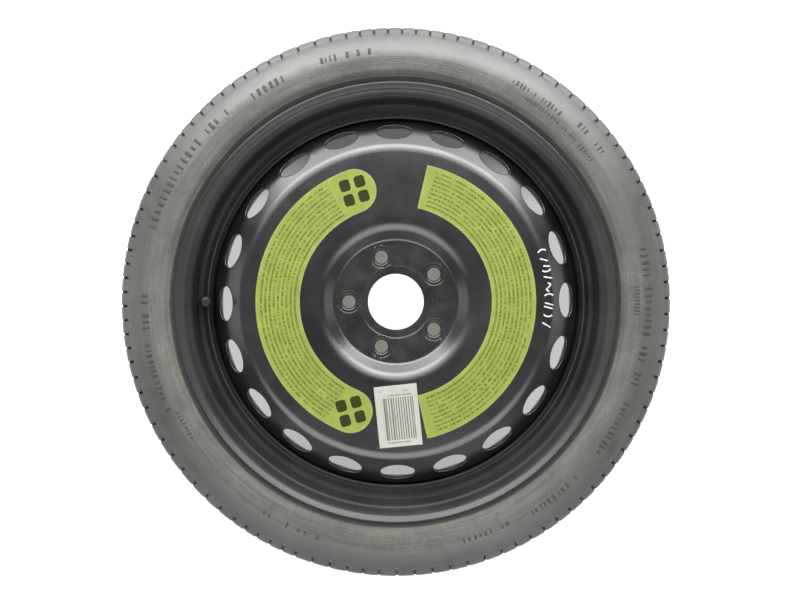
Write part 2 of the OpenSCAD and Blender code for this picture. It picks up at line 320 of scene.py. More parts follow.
def paint_material(name="wheel_paint"):
    m, nt, b = material(name)
    co, r, a, x, y, z = polar(nt)
    dust = noise(nt, 14, 6, 0.6, co)
    speck = noise(nt, 420, 2, 0.5, co)
    col = ramp(nt, dust, [(0.35, (0.0045, 0.0045, 0.005)), (0.6, (0.0075, 0.0075, 0.0075)), (0.8, (0.014, 0.014, 0.013))])
    dull = ramp(nt, dust, [(0.3, (0.016, 0.016, 0.0155)), (0.7, (0.032, 0.032, 0.030))])
    # faint rings and rubbed patches on the hub face
    turn = math_node(nt, "SINE", math_node(nt, "ADD", math_node(nt, "MULTIPLY", r, 2400.0), math_node(nt, "MULTIPLY", dust, 9.0)))
    turn = math_node(nt, "MULTIPLY", math_node(nt, "ADD", turn, 1.0), math_node(nt, "LESS_THAN", r, 0.072))
    patch = ramp(nt, noise(nt, 60, 4, 0.65, co), [(0.42, 0.0), (0.7, 1.0)])
    col = mix(nt, math_node(nt, "MULTIPLY", math_node(nt, "MULTIPLY", turn, patch), 0.5), col, (0.034, 0.034, 0.031))
    # painted highlight: two light lines round the rim's shelf, only on its left and right sides
    line = None
    for at in (0.2271, 0.2340):
        g = math_node(nt, "LESS_THAN", math_node(nt, "ABSOLUTE", math_node(nt, "SUBTRACT", r, at)), 0.0007)
        line = g if line is None else math_node(nt, "MAXIMUM", line, g)
    line = math_node(nt, "MULTIPLY", line, math_node(nt, "ABSOLUTE", math_node(nt, "COSINE", math_node(nt, "MULTIPLY", a, TAU))))
    col = mix(nt, math_node(nt, "MULTIPLY", line, 0.85), col, (0.060, 0.060, 0.057))
    # the rim's flange and lip are duller than the disc, and the lip's edge is rubbed
    far = math_node(nt, "MULTIPLY", r, 3.8)
    link(nt, mix(nt, ramp(nt, far, [(0.8788, 0.0), (0.8978, 1.0)]), col, dull), b.inputs["Base Color"])
    top = math_node(nt, "MINIMUM", math_node(nt, "MAXIMUM", math_node(nt, "MULTIPLY", math_node(nt, "SUBTRACT", y, 0.10), 14.0), 0.0), 1.0)
    edge = math_node(nt, "ADD", far, math_node(nt, "MULTIPLY", top, 0.0065))
    rough = mix(nt, ramp(nt, edge, [(0.8788, 0.0), (0.8978, 1.0), (0.9735, 1.0), (0.9745, 0.0)]), ramp(nt, dust, [(0.3, 0.24), (0.7, 0.34)]), ramp(nt, dust, [(0.3, 0.36), (0.7, 0.44)]))
    link(nt, rough, b.inputs["Roughness"])
    b.inputs["IOR"].default_value = 2.0
    link(nt, ramp(nt, edge, [(0.819, 0.5), (0.834, 0.15), (0.935, 0.09), (0.945, 0.28), (0.9735, 0.28), (0.9745, 0.9)]), b.inputs["Specular IOR Level"])
    wave = noise(nt, 34, 2, 0.4, co)
    n1 = bump(nt, wave, 0.10, 0.0009)
    n2 = bump(nt, speck, 0.05, 0.0002, n1)
    link(nt, n2, b.inputs["Normal"])
    return m


def simple_material(name, colour, rough, metallic=0.0, scale=60, vary=0.15, bump_d=0.0002):
    m, nt, b = material(name)
    co = object_coords(nt)
    n = noise(nt, scale, 4, 0.6, co)
    lo = tuple(c * (1 - vary) for c in colour)
    hi = tuple(min(c * (1 + vary), 1) for c in colour)
    link(nt, ramp(nt, n, [(0.3, lo), (0.7, hi)]), b.inputs["Base Color"])
    link(nt, ramp(nt, n, [(0.3, rough * 0.9), (0.7, min(rough * 1.12, 1))]), b.inputs["Roughness"])
    b.inputs["Metallic"].default_value = metallic
    link(nt, bump(nt, noise(nt, scale * 6, 2, 0.5, co), 0.2, bump_d), b.inputs["Normal"])
    return m


M_RUBBER = rubber_material()
M_PAINT = paint_material()
M_WELD = simple_material("painted_weld_bead", (0.03, 0.03, 0.03), 0.4, scale=300, bump_d=0.0008)
M_VALVE = simple_material("valve_rubber_black", (0.022, 0.022, 0.022), 0.45)
M_BRASS = simple_material("turned_brass", (0.66, 0.48, 0.22), 0.3, metallic=1.0, scale=200)
M_RED = simple_material("red_seal", (0.45, 0.05, 0.04), 0.5)
M_STEEL = simple_material("spring_wire", (0.55, 0.55, 0.57), 0.3, metallic=1.0, scale=200)
M_CAP = simple_material("cap_black", (0.02, 0.02, 0.021), 0.38)

for node, mat in (("weld_beads", M_WELD), ("valve_body", M_VALVE), ("valve_insert", M_BRASS),
                  ("core_plug", M_BRASS), ("core_barrel", M_BRASS), ("core_gasket", M_RED),
                  ("core_pin", M_BRASS), ("core_plunger", M_BRASS), ("core_plunger_seal", M_VALVE),
                  ("core_spring", M_STEEL), ("valve_cap", M_CAP), ("valve_cap_seal", M_RED)):
    obj = nodes[node]
    if not obj.material_slots:
        obj.data.materials.append(mat)
    for s in obj.material_slots:
        s.material = mat


# --------------------------------------------------------------------- tyre
SEAT_R, LIP_R, HALF_RIM = 241.3, 258.6, 50.8
CROWN, HALF_W = 328.8, 63.3      # the sidewall is 0.5 mm lower than in CAD, which leaves room for its relief
LIP_RISE, LIP_RUN = 6.8, 7.7
LIP_ANGLE = math.atan(LIP_RISE / LIP_RUN)
BEND_R = LIP_R - LIP_RUN - 9.5 * math.tan(LIP_ANGLE / 2)


def crown(w):
    return CROWN - 0.00238 * w * w


def tyre_rows():
    """Outer half section from the crown to the upper sidewall as [r, w, kind, depth]."""
    rows = []

    def put(r, w, notch=0.0, sipe=0.0):
        rows.append([r, w, notch, sipe])

    put(crown(0) - 4, 0)
    put(crown(0) - 4, 2.3)
    put(crown(0) - 0.25, 2.95)
    put(crown(0), 3.3)
    put(crown(4.6), 4.6)
    put(crown(4.65), 4.65, 0, 3)
    put(crown(16.2), 16.2, 0, 3)
    put(crown(16.25), 16.25)
    put(crown(17.6), 17.6)
    put(crown(17.9) - 0.25, 18.0)
    put(crown(18.7) - 4, 18.7)
    put(crown(23.3) - 4, 23.3)
    put(crown(24) - 0.25, 24.05)
    put(crown(24.4), 24.4)
    put(crown(30), 30)
    put(crown(36), 36)
    put(crown(36.1), 36.1, 4.6)
    put(crown(38), 38, 5.4)
    sh = smooth([[crown(38), 38], [crown(42), 42], [CROWN - 5.8, 45.4], [CROWN - 9.2, 48], [CROWN - 13.4, HALF_W - 13.2],
                 [CROWN - 19, HALF_W - 9.9], [CROWN - 27, HALF_W - 6.1], [CROWN - 36, HALF_W - 2.5]], 3)[1:]
    for r, w in sh:
        d = 0.0
        if w < 51.6:
            d = 6.4 * min(1.0, (51.6 - w) / 4.2) ** 0.7
        put(r, w, d)
    return rows


SLANT = 0.0       # lean of the shoulder notches, radians from their outer to their inner end


def tyre():
    rng = random.Random(7)
    # notches with three spacings in groups, as on the real tread
    pitch = []
    while sum(pitch) < 352:
        pitch += [rng.choice([2.95, 3.35, 3.75])] * rng.choice([2, 3, 3, 4, 5])
    pitch = np.array(pitch) * (360 / sum(pitch))
    at = np.radians(np.cumsum(pitch) - pitch[0] + 0.8)
    n = len(at)
    gap = np.radians(pitch[(np.arange(n) + 1) % n])
    hw, e = 1.35 / 325, 0.18 / 325
    s, e2 = 0.42 / 325, 0.1 / 325
    cols, kind = [], []
    for k in range(n):
        m = at[k] + gap[k] / 2
        cols += [at[k] - hw - e, at[k] - hw, at[k] + hw, at[k] + hw + e, m - s - e2, m - s, m + s, m + s + e2]
        kind += [0, 1, 1, 0, 0, 2, 2, 0]
    cols, kind = np.array(cols), np.array(kind)
    rows = tyre_rows()
    fine = [(r, w, a, b) for r, w, a, b in rows]
    half_r = np.array([f[0] for f in fine])
    half_w = np.array([f[1] for f in fine])
    nr = normals(np.stack([half_w, half_r], 1))       # (w, r) path, crown outwards: left normal points outwards
    sheet = Sheet()

    def fine_loop(i, side, shift=0.0):
        r, w, dn, ds = fine[i]
        dw, dr = nr[i]
        dep = np.where(kind == 1, dn, np.where(kind == 2, ds, 0.0))
        if ds and not dn:
            dr, dw = 1.0, 0.0
        rr = r - dep * dr
        ww = w - dep * dw
        return sheet.add(loop(rr, MID + side * ww, cols - SLANT * float(np.clip((w - 36.0) / 15.6, 0, 1))))

    top = [fine_loop(i, 1) for i in range(len(fine))]
    last = len(fine) - 1
    bottom = [top[0]] + [fine_loop(i, -1) for i in range(1, len(fine)) if i < 18 or (last - i) % 2 == 0]
    for g in (top, bottom):
        for a, b in zip(g, g[1:]):
            sheet.band(a, b)
    # sidewall, bead and air side with every second column
    c2 = cols[::2] - SLANT
    wall = smooth([[CROWN - 36, HALF_W - 2.5], [CROWN - 45, HALF_W - 0.3], [CROWN - 52, HALF_W - 0.2],
                   [SEAT_R + 30, HALF_W - 0.8], [SEAT_R + 27, HALF_W - 1.4]], 14)[1:]
    wall = np.array([q for i, q in enumerate(wall) if (i < 14 and i % 5 == 3) or 14 <= i < 42 or (i >= 42 and i % 3 == 1)])
    nw = normals(wall)
    ribs = []
    for (r, w), (dr, dw) in zip(wall, nw):
        h = 0.0
        if 268.6 < r < 284.6:
            h = 0.32 * (0.5 - 0.5 * math.cos(TAU * (284.6 - r) / 2.0)) ** 1.5
        ribs.append([r, w + h])
    low = [[SEAT_R + 26.2, HALF_W - 1.9], [SEAT_R + 25.2, HALF_W - 2.6], [SEAT_R + 23.5, HALF_W - 4.6],
           [SEAT_R + 22.2, HALF_W - 5.6], [SEAT_R + 20.6, HALF_W - 6.3], [SEAT_R + 19.4, HALF_W - 6.8],
           [SEAT_R + 18.4, HALF_W - 7.1]]
    bead = [[BEND_R + 9.5 * math.sin(t), HALF_RIM + 9.5 - 9.5 * math.cos(t)] for t in np.linspace(LIP_ANGLE, 0, 5)]
    taper = math.tan(math.radians(5))
    heel = [list(q) for q in corner([BEND_R, HALF_RIM], [SEAT_R, HALF_RIM], [SEAT_R - 17 * taper, HALF_RIM - 17], 5, 3)]
    toe = [[SEAT_R - 16.3 * taper, HALF_RIM - 16.3], [SEAT_R - 0.4, HALF_RIM - 18.2]]
    air = smooth([[SEAT_R + 2, HALF_W - 30.6], [SEAT_R + 9, HALF_W - 25.5], [SEAT_R + 17, HALF_W - 17.5],
                  [SEAT_R + 25, HALF_W - 11.6], [SEAT_R + 33, HALF_W - 8], [SEAT_R + 42, HALF_W - 6.6],
                  [SEAT_R + 51, HALF_W - 8.4], [CROWN - 28.5, HALF_W - 12.4], [CROWN - 20.5, HALF_W - 19],
                  [CROWN - 15, 35], [CROWN - 12.6, 24], [CROWN - 11.8, 12]], 1)
    air = [list(q) for q in air]
    plain = [list(q) for q in wall[::4]]
    ends = []
    for side, ring, body in ((1, top[-1], ribs), (-1, bottom[-1], plain)):
        prev = ring
        for r, w in body + low + bead + heel + toe:
            cur = sheet.add(loop(r, MID + side * w, c2))
            sheet.band(prev, cur)
            prev = cur
        c4 = c2[::2]
        for r, w in air:
            cur = sheet.add(loop(r, MID + side * w, c4))
            sheet.band(prev, cur)
            prev = cur
        ends.append(prev)
    last = sheet.add(loop(CROWN - 11.6, MID, c2[::2]))
    sheet.band(ends[0], last)
    sheet.band(ends[1], last)
    return make("tyre_body", sheet.verts(), sheet.f, M_RUBBER, stands_for=("tyre",), angle=32)


# ---------------------------------------------------------------------- rim
T_RIM = 2.8
FLANGE_Z = MID + HALF_RIM
TAPER = math.tan(math.radians(5))
WALL_R, WALL_Z, WELL_R = SEAT_R - 1.1, -8.6, 222.3
WELL_Z = WALL_Z - (WALL_R - WELL_R) * math.tan(math.radians(16))
RIM_PATH = rounded([
    [LIP_R - 1.5, FLANGE_Z + LIP_RISE - 1.32, 0], [LIP_R - LIP_RUN, FLANGE_Z, 9.5, 9], [SEAT_R, FLANGE_Z, 2.5, 6],
    [SEAT_R - FLANGE_Z * TAPER, 0, 4, 3], [WALL_R + 0.5, -4, 3, 3], [WALL_R, WALL_Z, 3.4, 6],
    [WELL_R, WELL_Z, 3.5, 6], [WELL_R, MID - 13, 6, 6], [SEAT_R - 1.8, MID - 29.5, 8, 6],
    [SEAT_R, MID - HALF_RIM, 2.5, 5], [LIP_R - LIP_RUN, MID - HALF_RIM, 9.5, 8], [LIP_R, MID - HALF_RIM - LIP_RISE, 0]])
VALVE_FOOT = (-230.0, 0.0, -8.61)
VALVE_AXIS = np.array([math.sin(math.radians(16)), 0, math.cos(math.radians(16))])


def cut(obj, name, verts, faces):
    """Exact boolean cut, applied to the mesh."""
    mesh = bpy.data.meshes.new(name)
    mesh.from_pydata((np.asarray(verts) * 0.001).tolist(), [], faces)
    tool = bpy.data.objects.new(name, mesh)
    scene.collection.objects.link(tool)
    mod = obj.modifiers.new("cut", "BOOLEAN")
    mod.operation, mod.solver, mod.object = "DIFFERENCE", "EXACT", tool
    dg = bpy.context.evaluated_depsgraph_get()
    new = bpy.data.meshes.new_from_object(obj.evaluated_get(dg))
    obj.modifiers.clear()
    old = obj.data
    obj.data = new
    new.name = old.name
    bpy.data.meshes.remove(old)
    bpy.data.objects.remove(tool)
    bpy.data.meshes.remove(mesh)
    return obj


def rim():
    outer = RIM_PATH
    inner = moved(RIM_PATH, -T_RIM)
    ang = np.linspace(0, TAU, 640, endpoint=False)
    # rounded lip ends
    def end(a, b):
        c, h = (a + b) / 2, (b - a) / 2
        d = np.array([h[1], -h[0]])
        return [c - h * math.cos(t) + d * math.sin(t) for t in np.linspace(0, math.pi, 7)[1:-1]]
    path = list(outer) + end(outer[-1], inner[-1]) + list(inner[::-1]) + end(inner[0], outer[0])
    sheet = Sheet()
    rings = [sheet.add(loop(r, z, ang)) for r, z in path]
    for a, b in zip(rings, rings[1:] + rings[:1]):
        sheet.band(a, b)
    obj = make("rim_ring", sheet.verts(), sheet.f, M_PAINT, stands_for=("rim",), angle=40)
    # valve hole
    k = 48
    u = np.array([VALVE_AXIS[2], 0, -VALVE_AXIS[0]])
    v = np.array([0, 1.0, 0])
    circ = [u * 5.75 * math.cos(TAU * i / k) + v * 5.75 * math.sin(TAU * i / k) for i in range(k)]
    foot = np.array(VALVE_FOOT)
    lo = [foot + c - VALVE_AXIS * 8 for c in circ]
    hi = [foot + c + VALVE_AXIS * 6 for c in circ]
    faces = [[i, (i + 1) % k, k + (i + 1) % k, k + i] for i in range(k)]
    faces += [list(range(k))[::-1], list(range(k, 2 * k))]
    cut(obj, "rim_hole_tool", lo + hi, faces)
    return obj


# --------------------------------------------------------------------- disc
T_DISC = 3.8
DISC_R = 219.5
ANN_Z = 17.0
CREST_R = DISC_R - 38
FLANK_R = DISC_R - 12.8
FLANK_Z = ANN_Z - (FLANK_R - CREST_R) * math.tan(math.radians(28.5))
DISH_R = 73.6
DISH_RUN = 15.2
DISH_TOP = T_DISC + DISH_RUN * math.tan(math.radians(39))


def disc_path(f=1.0):
    m = [max(3, round(k * f)) for k in (9, 13, 4, 12, 8, 8)]
    return rounded([
        [33.25, T_DISC, 0], [DISH_R, T_DISC, 6, m[0]], [DISH_R + DISH_RUN, DISH_TOP, 24, m[1]],
        [DISH_R + DISH_RUN + (ANN_Z - DISH_TOP) / math.tan(math.radians(4)), ANN_Z, 60, m[2]],
        [CREST_R, ANN_Z, 22.5, m[3]], [FLANK_R, FLANK_Z, 40, m[4]],
        [DISC_R, FLANK_Z - 12.8 * math.tan(math.radians(48)), 8, m[5]], [DISC_R, -38, 0]])


DISC_PATH = disc_path()
VENT_MID = (DISC_R - 17, ANN_Z - 12.8)
VENT_SLOPE = math.radians(35)
VENT_L, VENT_W, VENT_E = 41.4, 23.0, 7.6


def vent_outline(k):
    """k points of the four-arc oval, as (across, along)."""
    c, b, e = VENT_L / 2 - VENT_E, VENT_W / 2, VENT_E
    big = (c * c + b * b - e * e) / (2 * (b - e))
    out = []
    for t in np.linspace(0, TAU, k, endpoint=False) + TAU / k / 2:
        # ray from the centre, nearest arc
        d = np.array([math.cos(t), math.sin(t)])
        sx, sy = (1 if d[0] >= 0 else -1), (1 if d[1] >= 0 else -1)
        o = np.array([-(big - b) * sx, 0.0])
        bq = d @ o
        s = bq + math.sqrt(bq * bq - o @ o + big * big)
        p = d * s
        lim = big * c / math.hypot(c, big - b)
        if abs(p[1]) > lim:
            o = np.array([0.0, c * sy])
            bq = d @ o
            s = bq + math.sqrt(max(bq * bq - o @ o + e * e, 0))
            p = d * s
        out.append(p)
    return np.array(out)


def disc():
    top = DISC_PATH
    under = moved(disc_path(0.5), -T_DISC)
    NV = 20
    SEG = 24                      # columns per vent cell
    N = NV * SEG
    start = math.radians(0.6 - 9)
    ang = start + np.arange(N) * TAU / N
    RA, RB = 186.6, 217.2         # flank cells lie between these radii
    sheet = Sheet()

    def z_of(path, r):
        keep = path[path[:, 0] < DISC_R - 0.02] if path is top else path
        order = np.argsort(keep[:, 0], kind="stable")
        return np.interp(r, keep[order, 0], keep[order, 1])

    # split the paths at the cell edges
    def parts(path, ra, rb):
        r, z = path[:, 0], path[:, 1]
        i = int(np.argmax((r > ra) & (z < ANN_Z + 1) & (r > 150)))
        j = int(np.argmax(r > rb))
        a = [list(p) for p in path[:i]] + [[ra, float(np.interp(ra, [r[i - 1], r[i]], [z[i - 1], z[i]]))]]
        b = [[rb, float(np.interp(rb, [r[j - 1], r[j]], [z[j - 1], z[j]]))]] + [list(p) for p in path[j:]]
        f = np.array([a[-1]] + [list(p) for p in path[i:j]] + [b[0]])
        return a, f, b

    HUB_RA, HUB_RB = 45.2, 68.4   # bolt cells
    t_in, t_fl, t_out = parts(top, RA, RB)
    RA2, RB2 = 184.4, 214.6
    u_in, u_fl, u_out = parts(under, RA2, RB2)

    def zf(f, r):
        return np.interp(r, f[:, 0], f[:, 1])

    # vent outlines on both faces
    K = 2 * SEG + 16
    oval = vent_outline(K)
    nrm = np.array([math.sin(VENT_SLOPE), math.cos(VENT_SLOPE)])     # (r, z) up out of the flank
    along = np.array([math.cos(VENT_SLOPE), -math.sin(VENT_SLOPE)])

    def on_face(f, pts):
        """Drill-direction projection of oval points on a face; returns (angle, radius)."""
        res = []
        for a, b in pts:
            lo, hi = -14.0, 14.0
            base = np.array(VENT_MID) + along * a
            for _ in range(44):
                t = (lo + hi) / 2
                p = base + nrm * t
                r = math.hypot(p[0], b)
                if p[1] > zf(f, r):
                    hi = t
                else:
                    lo = t
            res.append([math.atan2(b, p[0]), r])
        return np.array(res)

    # boundary of a cell in (angle, radius), counted round like the oval: starts at outer middle
    def cell_boundary(ra, rb):
        h = TAU / NV / 2
        pts = []
        outer = [(h * (2 * i / SEG), rb) for i in range(SEG // 2)]                      # centre to +h
        right = [(h, rb + (ra - rb) * i / 8) for i in range(8)]
        inner = [(h - 2 * h * i / SEG, ra) for i in range(SEG)]
        left = [(-h, ra + (rb - ra) * i / 8) for i in range(8)]
        outer2 = [(-h + 2 * h * i / SEG, rb) for i in range(SEG // 2)]
        return np.array(outer + right + inner + left + outer2)

    oval0 = vent_outline(K)
    # rotate the oval so that its first point is at the outer middle
    th = np.arctan2(oval0[:, 1], oval0[:, 0])
    oval0 = oval0[np.argsort((th + TAU - 1e-9) % TAU)]

    def even(pts, bound):
        """Spread the outline's points to match the boundary's directions."""
        c = np.array([[0.0, 0.0]])
        t = np.arctan2(bound[:, 0] * 200, (bound[:, 1] - 202.3))
        tt = np.unwrap(t)
        q = np.unwrap(np.arctan2(pts[:, 1], pts[:, 0]))
        dense = vent_outline(720)
        dq = np.arctan2(dense[:, 1], dense[:, 0]) % TAU
        o = np.argsort(dq)
        dense, dq = dense[o], dq[o]
        # blend between equal arc length and equal direction
        seg = np.linalg.norm(np.diff(np.vstack([dense, dense[:1]]), axis=0), axis=1)
        s = np.concatenate([[0], np.cumsum(seg)])
        total = s[-1]
        s_dir = np.interp(tt % TAU, np.concatenate([dq, [dq[0] + TAU]]), s)
        s_eq = np.arange(len(bound)) / len(bound) * total
        d = (s_dir - s_eq + total / 2) % total - total / 2
        sv = (s_eq + 0.6 * d) % total
        x = np.interp(sv, s, np.append(dense[:, 0], dense[0, 0]))
        y = np.interp(sv, s, np.append(dense[:, 1], dense[0, 1]))
        return np.stack([x, y], 1)

    def grow(pts, d):
        """Outline moved outwards by d."""
        nx = np.roll(pts, -1, 0) - np.roll(pts, 1, 0)
        n = np.stack([nx[:, 1], -nx[:, 0]], 1)
        n /= np.linalg.norm(n, axis=1)[:, None]
        if ((n * pts).sum(1)).mean() < 0:
            n = -n
        return pts + n * d

    def cells(f, ra, rb, bevel):
        bound = cell_boundary(ra, rb)
        hole = even(oval0, bound)
        h0 = on_face(f, grow(hole, bevel))
        h1 = on_face(f, grow(hole, bevel * 2.4))
        levels = [h0, h1]
        for w in (0.30, 0.55, 0.8):
            levels.append(h1 * (1 - w) + bound * w)
        return hole, levels, bound

    SH = SEG // 2

    def build_face(pin, f, pout, ra, rb, bevel, sign):
        """Rings inwards and outwards of the cells plus the cells of one face. Returns hole-edge loops."""
        ring_a = sheet.add(loop(ra, zf(f, ra), ang))
        ring_b = sheet.add(loop(rb, zf(f, rb), ang))
        prev = ring_a
        loops_in = []
        for r, z in reversed(pin[:-1]):
            if r < HUB_RB + 0.01 and sign > 0:
                break
            if r < HUB_RB + 0.01 and sign < 0:
                break
            cur = sheet.add(loop(r, z, ang))
            sheet.band(prev, cur)
            prev = cur
        inner_ring = prev
        prev = ring_b
        for r, z in pout[1:]:
            cur = sheet.add(loop(r, z, ang))
            sheet.band(prev, cur)
            prev = cur
        outer_ring = prev
        hole, levels, bound = cells(f, ra, rb, bevel)
        # side lines shared by neighbouring cells
        sides = []
        for k in range(NV):
            a = start + k * TAU / NV
            rr = ra + (rb - ra) * np.arange(1, 8) / 8
            sides.append(sheet.add(loop(rr, zf(f, rr), np.full(7, a))))
        edge_loops = []
        for k in range(NV):
            c = start + (k + 0.5) * TAU / NV
            i0 = k * SEG
            i1 = (k + 1) * SEG
            ids_b = [ring_b[(i0 + SH + i) % N] for i in range(SH)]                 # outer, centre to right
            nxt = (k + 1) % NV
            ids = list(ids_b)
            ids.append(ring_b[i1 % N])                                            # right outer corner
            ids += list(sides[nxt][::-1])                                         # down to the inner corner
            ids += [ring_a[(i1 - i) % N] for i in range(SEG)]
            ids.append(ring_a[i0])
            ids += list(sides[k])
            ids += [ring_b[(i0 + i) % N] for i in range(SH)]
            ids = np.array(ids)
            prev = ids
            for lv in levels[::-1]:
                cur = sheet.add(loop(lv[:, 1], zf(f, lv[:, 1]), c + lv[:, 0]))
                sheet.band(prev, cur)
                prev = cur
            edge_loops.append(prev)
        return inner_ring, outer_ring, hole, edge_loops

    ti, to, hole_t, edge_t = build_face(t_in, t_fl, t_out, RA, RB, 0.7, 1)
    ui, uo, hole_u, edge_u = build_face(u_in, u_fl, u_out, RA2, RB2, 0.25, -1)

    # hole walls: rounded edge at the top face, then straight down
    ht = on_face(t_fl, hole_t)
    hu = on_face(u_fl, hole_t)
    for k in range(NV):
        c = start + (k + 0.5) * TAU / NV

        def cart(pr, f, sink=0.0):
            p = loop(pr[:, 1], zf(f, pr[:, 1]), c + pr[:, 0])
            if sink:
                n3 = np.array([math.sin(VENT_SLOPE) * math.cos(c), math.sin(VENT_SLOPE) * math.sin(c), math.cos(VENT_SLOPE)])
                p = p - n3 * sink
            return p
        gr = [(0.7, 0.0), (0.37, 0.07), (0.12, 0.28), (0.0, 0.7)]
        prev = edge_t[k]
        for g, sink in gr[1:]:
            pr = on_grow[g] if (g in on_grow) else on_grow.setdefault(g, on_face(t_fl, grow(hole_t, g)))
            cur = sheet.add(cart(pr, t_fl, sink))
            sheet.band(prev, cur)
            prev = cur
        cur = sheet.add(cart(hu, u_fl, -0.3))
        sheet.band(prev, cur)
        sheet.band(cur, edge_u[k])

    # outer end of the flange
    sheet.band(to, uo)

    # hub: five cells round the bolt holes, both faces
    NB = 5
    SB = N // NB
    col = int(round((0.0 - start) / (TAU / N)))

    def top_z(x, y):
        """Hub face with the step round the bore and the five round recesses."""
        r = np.hypot(x, y)
        d = 1.2 * ease((43.9 - r) / 1.5)
        a = np.arctan2(y, x)
        k = np.round((a - math.radians(36)) / (TAU / 5)) * (TAU / 5) + math.radians(36)
        q = np.hypot(x - 56 * np.cos(k), y - 56 * np.sin(k))
        d = np.maximum(d, 1.0 * ease((14.0 - q) / 1.1))
        return T_DISC - d

    def flat_z(x, y):
        return np.zeros_like(x)

    def put(r_or_xy, fz):
        p = np.asarray(r_or_xy)
        return sheet.add(np.stack([p[:, 0], p[:, 1], fz(p[:, 0], p[:, 1])], 1))

    def hub_face(inner_ring, fz, mids, prof, ra, rb):
        circ = np.stack([np.cos(ang), np.sin(ang)], 1)
        ring_o = put(circ * rb, fz)
        sheet.band(inner_ring, ring_o)
        ring_i = put(circ * ra, fz)
        lines = []
        ns = 10
        for k in range(NB):
            a = ang[(col + k * SB) % N]
            rr = ra + (rb - ra) * np.arange(1, ns) / ns
            lines.append(put(np.stack([rr * math.cos(a), rr * math.sin(a)], 1), fz))
        ends = []
        for k in range(NB):
            i0 = col + k * SB
            i1 = i0 + SB
            ids = [ring_o[(i0 + SB // 2 + i) % N] for i in range(SB // 2)]
            ids.append(ring_o[i1 % N])
            ids += list(lines[(k + 1) % NB][::-1])
            ids += [ring_i[(i1 - i) % N] for i in range(SB)]
            ids.append(ring_i[i0 % N])
            ids += list(lines[k])
            ids += [ring_o[(i0 + i) % N] for i in range(SB // 2)]
            ids = np.array(ids)
            P = sheet.verts()[ids][:, :2]
            ca = math.radians(36 + 72 * k)
            c = np.array([56 * math.cos(ca), 56 * math.sin(ca)])
            d = P - c
            t = np.unwrap(np.arctan2(d[:, 1], d[:, 0]))
            rad = np.hypot(d[:, 0], d[:, 1])
            eq = t[0] + (np.arange(len(t)) / len(t)) * TAU * (1 if t[-1] > t[0] else -1)
            prev = ids
            lim = rad.copy()
            for j, q in enumerate(mids):
                w = (j + 1) / len(mids) * 0.5
                te = t * (1 - w) + eq * w
                lim = lim - np.where(lim < 14.5, 0.03, 0.12)
                rr = np.minimum(lim, q)
                cur = put(np.stack([c[0] + rr * np.cos(te), c[1] + rr * np.sin(te)], 1), fz)
                sheet.band(prev, cur)
                prev = cur
            te = t * 0.5 + eq * 0.5
            for q, z in prof:
                cur = sheet.add(np.stack([c[0] + q * np.cos(te), c[1] + q * np.sin(te), np.full(len(te), z)], 1))
                sheet.band(prev, cur)
                prev = cur
            ends.append(prev)
        return ring_i, ends

    zt = T_DISC
    mids = [24, 19, 16.5, 15, 14.2, 14.0, 13.8, 13.55, 13.3, 13.1, 12.95, 12.6, 11.6]
    prof_t = [(10.3, zt - 1.0), (9.9, zt - 1.03), (9.6, zt - 1.15), (9.3, zt - 1.4), (8.3, 1.45), (7.95, 1.05), (7.75, 0.7)]
    ring_t, ends_t = hub_face(ti, top_z, mids, prof_t, HUB_RA, HUB_RB)
    ring_u, ends_u = hub_face(ui, flat_z, [20, 12.5], [(9.4, 0.0), (8.1, 0.0), (7.75, 0.3)], HUB_RA, HUB_RB)
    for a, b in zip(ends_t, ends_u):
        sheet.band(a, b)
    # stepped edge and bore
    prev = ring_t
    circ = np.stack([np.cos(ang), np.sin(ang)], 1)
    for r in (44.8, 44.4, 44.1, 43.9, 43.7, 43.45, 43.2, 42.95, 42.7, 42.5, 42.3, 42.0, 41.5, 40.6):
        cur = put(circ * r, top_z)
        sheet.band(prev, cur)
        prev = cur
    for r, z in ((37.5, zt - 1.2), (34.0, zt - 1.2), (33.45, zt - 1.33), (33.25, zt - 1.7), (33.25, 0.4), (33.6, 0.0)):
        cur = sheet.add(loop(r, z, ang))
        sheet.band(prev, cur)
        prev = cur
    sheet.band(prev, ring_u)
    return make("disc_pressing", sheet.verts(), sheet.f, M_PAINT, stands_for=("disc",), angle=44)


def face_z(r):
    """Height of the disc's outer face at radius r."""
    keep = DISC_PATH[:, 0] < DISC_R - 0.02
    return np.interp(r, DISC_PATH[keep, 0], DISC_PATH[keep, 1])


# ----------------------------------------------------- stickers and the label
BAND1, BAND2 = 112.6, 164.6
BMID, BHALF = (BAND1 + BAND2) / 2, (BAND2 - BAND1) / 2


